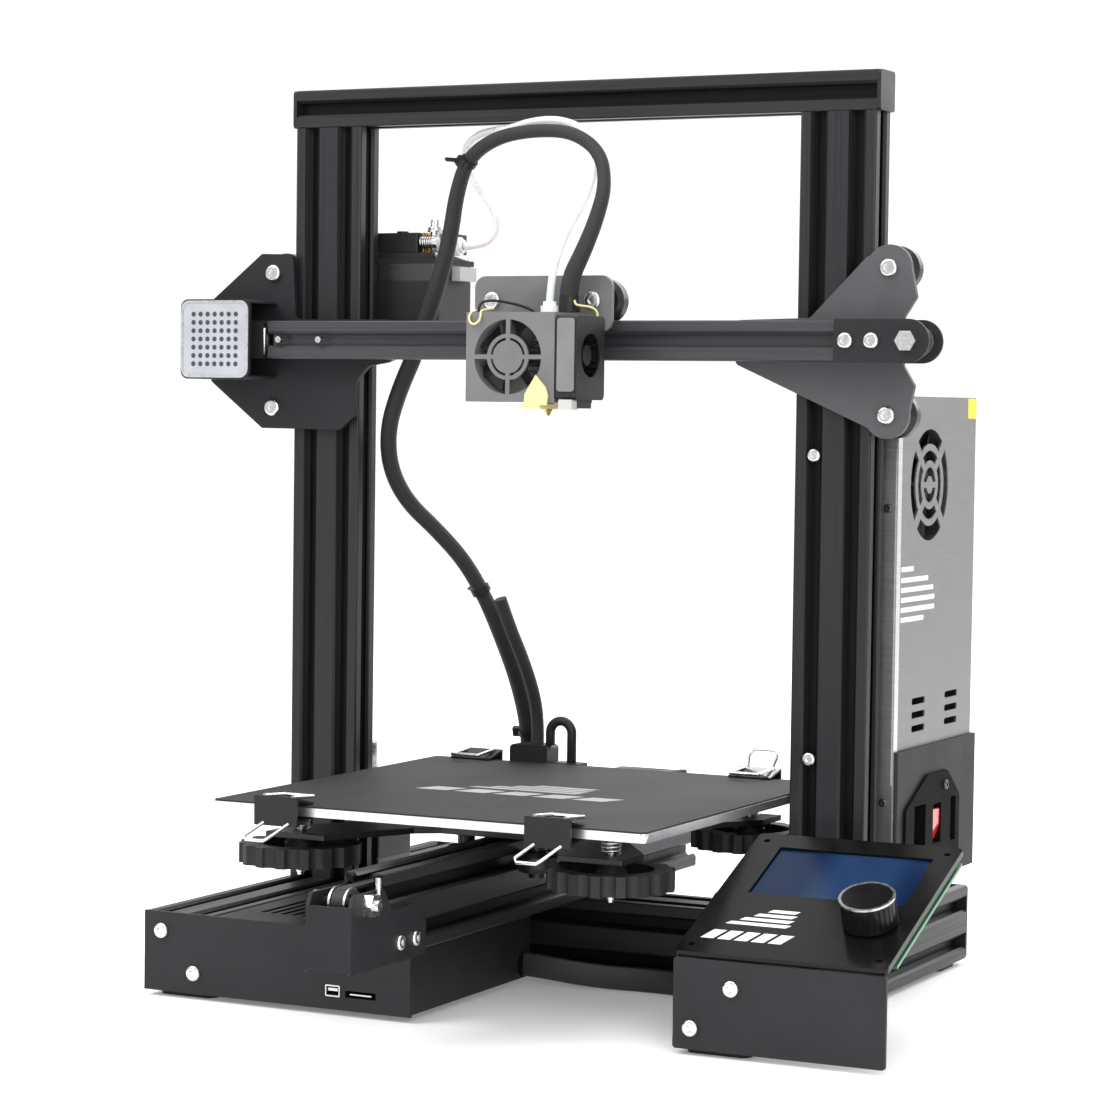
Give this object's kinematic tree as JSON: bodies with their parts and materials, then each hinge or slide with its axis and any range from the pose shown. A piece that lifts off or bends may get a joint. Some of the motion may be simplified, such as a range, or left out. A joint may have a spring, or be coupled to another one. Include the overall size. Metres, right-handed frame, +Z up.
{
  "type": "fused filament 3-D printer",
  "caption": "Desktop filament printer with a moving bed, a rising gantry, a direct-view control panel and slotted profile frame.",
  "frame": {"origin": "on the table under the middle of the base, midway through the uprights' depth", "axes": "+X to the printer's right as seen from its front, +Y to the back, +Z up"},
  "size_m": [0.445, 0.4241, 0.466],
  "materials": {
    "black_profile": "satin black anodised aluminium",
    "black_sheet": "fine textured powder coat",
    "case_sheet": "fine textured powder coat",
    "black_plastic": "moulded plastic",
    "wheel_plastic": "smooth moulded plastic",
    "belt_rubber": "toothed belt",
    "steel": "plain bright",
    "screw_steel": "plain",
    "motor_body": "satin black with alloy end caps",
    "board_green": "lacquered circuit board",
    "screen_glass": "blue display",
    "psu_metal": "plain galvanised sheet",
    "rocker_red": "translucent red",
    "brass": "plain",
    "alu_bed": "plain rolled",
    "surface_black": "fine textured build surface",
    "white_plastic": "moulded plastic",
    "sleeve_black": "braided sleeve",
    "tube_white": "translucent tube",
    "cable_black": "cable jacket",
    "hotend_alloy": "turned"
  },
  "bodies": {
    "frame": {"base_rails": "black_profile", "y_profile": "black_profile", "uprights": "black_profile", "top_bar": "black_profile", "end_caps": "black_plastic", "electronics_case": "case_sheet", "y_tensioner": "black_sheet", "y_belt": "belt_rubber", "frame_motors": "motor_body", "lcd_bracket": "case_sheet", "lcd_panel": "black_plastic", "lcd_board": "board_green", "lcd_screen": "screen_glass", "psu_case": "psu_metal", "psu_cover": "black_sheet", "frame_screws": "screw_steel", "loom_lower": "sleeve_black", "bed_cable": "sleeve_black", "lcd_cable": "cable_black"},
    "gantry": {"gantry_plates": "black_sheet", "x_profile": "black_profile", "x_motor_cover": "black_sheet", "gantry_motors": "motor_body", "x_idler_bracket": "black_sheet", "x_belt": "belt_rubber", "extruder_bracket": "black_sheet", "extruder_body": "black_plastic", "gantry_screws": "screw_steel", "z_wheels": "wheel_plastic", "loom_loop": "sleeve_black", "bowden_tube": "tube_white"},
    "carriage": {"carriage_plate": "black_sheet", "x_wheels": "wheel_plastic", "hotend_shroud": "black_sheet", "hotend": "hotend_alloy", "blower_case": "black_plastic"},
    "bed": {"bed_carriage": "steel", "y_wheels": "wheel_plastic", "bed_plate": "alu_bed", "build_surface": "surface_black", "bed_springs": "steel", "bed_clips": "black_sheet", "bed_cable_clamp": "black_plastic"},
    "lead_screw": {"lead_screw": "steel"},
    "y_pulley": {"y_pulley": "steel"},
    "y_idler": {"y_idler": "steel"},
    "psu_fan": {"psu_fan": "black_plastic"},
    "encoder_shaft": {"encoder_shaft": "steel"},
    "encoder_knob": {"encoder_knob": "black_plastic"},
    "power_rocker": {"power_rocker": "rocker_red"},
    "x_pulley": {"x_pulley": "steel"},
    "x_idler": {"x_idler": "steel"},
    "extruder_gear": {"extruder_gear": "brass"},
    "extruder_lever": {"extruder_lever": "black_plastic"},
    "hotend_fan": {"hotend_fan": "black_plastic"},
    "blower_rotor": {"blower_rotor": "black_plastic"},
    "bed_knob_front_left": {"bed_knob_front_left": "black_plastic"},
    "bed_knob_front_right": {"bed_knob_front_right": "black_plastic"},
    "bed_knob_rear_left": {"bed_knob_rear_left": "black_plastic"},
    "bed_knob_rear_right": {"bed_knob_rear_right": "black_plastic"}
  },
  "joints": [
    {"name": "gantry_z", "type": "slide", "parent": "frame", "child": "gantry", "axis": [0, 0, 1], "range_m": [-0.189, 0.06], "deforming": ["loom_lower", "loom_loop", "bowden_tube", "bed_cable"]},
    {"name": "carriage_x", "type": "slide", "parent": "gantry", "child": "carriage", "axis": [1, 0, 0], "range_m": [-0.118, 0.102], "deforming": ["loom_loop", "bowden_tube"]},
    {"name": "bed_y", "type": "slide", "parent": "frame", "child": "bed", "axis": [0, 1, 0], "range_m": [-0.116, 0.104], "deforming": ["loom_lower", "bed_cable"]},
    {"name": "lead_screw_turn", "type": "hinge", "parent": "frame", "child": "lead_screw", "pos_m": [-0.145, 0.033, 0.1], "axis": [0, 0, 1], "continuous": true},
    {"name": "y_pulley_turn", "type": "hinge", "parent": "frame", "child": "y_pulley", "pos_m": [0, 0.15, 0.0716], "axis": [1, 0, 0], "continuous": true},
    {"name": "y_idler_turn", "type": "hinge", "parent": "frame", "child": "y_idler", "pos_m": [0, -0.239, 0.0716], "axis": [1, 0, 0], "continuous": true},
    {"name": "psu_fan_spin", "type": "hinge", "parent": "frame", "child": "psu_fan", "pos_m": [0.1642, 0.062, 0.261], "axis": [1, 0, 0], "continuous": true},
    {"name": "encoder_push", "type": "slide", "parent": "frame", "child": "encoder_shaft", "axis": [0, -0.3811, 0.9245], "range_m": [-0.0007, 0], "stiffness_N_per_m": 600, "springref_m": 0.0002},
    {"name": "encoder_turn", "type": "hinge", "parent": "encoder_shaft", "child": "encoder_knob", "pos_m": [0.2095, -0.12084, 0.07], "axis": [0, -0.3811, 0.9245], "continuous": true},
    {"name": "power_rock", "type": "hinge", "parent": "frame", "child": "power_rocker", "pos_m": [0.167, 0.073, 0.086], "axis": [0, 1, 0], "range_deg": [-18, 0]},
    {"name": "x_pulley_turn", "type": "hinge", "parent": "gantry", "child": "x_pulley", "pos_m": [-0.1935, -0.0255, 0.3323], "axis": [0, 1, 0], "continuous": true},
    {"name": "x_idler_turn", "type": "hinge", "parent": "gantry", "child": "x_idler", "pos_m": [0.193, -0.0255, 0.3323], "axis": [0, 1, 0], "continuous": true},
    {"name": "extruder_gear_turn", "type": "hinge", "parent": "gantry", "child": "extruder_gear", "pos_m": [-0.11085, 0.03165, 0.386], "axis": [0, 0, 1], "continuous": true},
    {"name": "extruder_lever_swing", "type": "hinge", "parent": "gantry", "child": "extruder_lever", "pos_m": [-0.1245, 0.036, 0.385], "axis": [0, 0, 1], "range_deg": [-12, 0], "stiffness_Nm_per_rad": 0.5, "springref_deg": 8.59},
    {"name": "hotend_fan_spin", "type": "hinge", "parent": "carriage", "child": "hotend_fan", "pos_m": [0.00185, -0.0789, 0.3229], "axis": [0, 1, 0], "continuous": true},
    {"name": "blower_spin", "type": "hinge", "parent": "carriage", "child": "blower_rotor", "pos_m": [0.0342, -0.0695, 0.324], "axis": [1, 0, 0], "continuous": true},
    {"name": "bed_knob_front_left_turn", "type": "hinge", "parent": "bed", "child": "bed_knob_front_left", "pos_m": [-0.085, -0.134, 0.079], "axis": [0, 0, 1], "continuous": true},
    {"name": "bed_knob_rear_left_turn", "type": "hinge", "parent": "bed", "child": "bed_knob_rear_left", "pos_m": [-0.085, 0.036, 0.079], "axis": [0, 0, 1], "continuous": true},
    {"name": "bed_knob_front_right_turn", "type": "hinge", "parent": "bed", "child": "bed_knob_front_right", "pos_m": [0.085, -0.134, 0.079], "axis": [0, 0, 1], "continuous": true},
    {"name": "bed_knob_rear_right_turn", "type": "hinge", "parent": "bed", "child": "bed_knob_rear_right", "pos_m": [0.085, 0.036, 0.079], "axis": [0, 0, 1], "continuous": true}
  ],
  "couplings": [
    {"joint": "lead_screw_turn", "follows": "gantry_z", "rad_per_m": 785.4},
    {"joint": "y_pulley_turn", "follows": "bed_y", "rad_per_m": -157.48},
    {"joint": "y_idler_turn", "follows": "bed_y", "rad_per_m": -157.48},
    {"joint": "x_pulley_turn", "follows": "carriage_x", "rad_per_m": 157.48},
    {"joint": "x_idler_turn", "follows": "carriage_x", "rad_per_m": 157.48}
  ]
}
